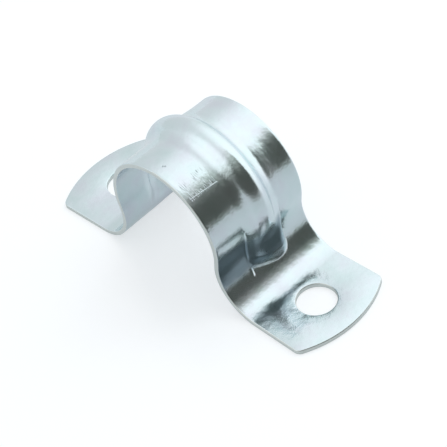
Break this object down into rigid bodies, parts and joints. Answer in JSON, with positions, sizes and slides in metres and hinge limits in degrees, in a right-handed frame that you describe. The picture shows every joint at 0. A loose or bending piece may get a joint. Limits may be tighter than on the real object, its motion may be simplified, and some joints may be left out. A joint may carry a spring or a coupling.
{
  "type": "conduit strap",
  "caption": "Pressed sheet-steel strap with a ribbed arch and punched feet that holds a round conduit to a wall.",
  "frame": {"origin": "midway between the feet, on the plane that both feet stand on", "axes": "+X from one foot to the other, +Y along the conduit, +Z away from the wall"},
  "size_m": [0.056, 0.0184, 0.0239],
  "materials": {
    "zinc_plated_steel": "bright bluish-white zinc plate, soft mirror reflections, light scuffs"
  },
  "bodies": {
    "root": {"strap": "zinc_plated_steel"}
  },
  "joints": []
}
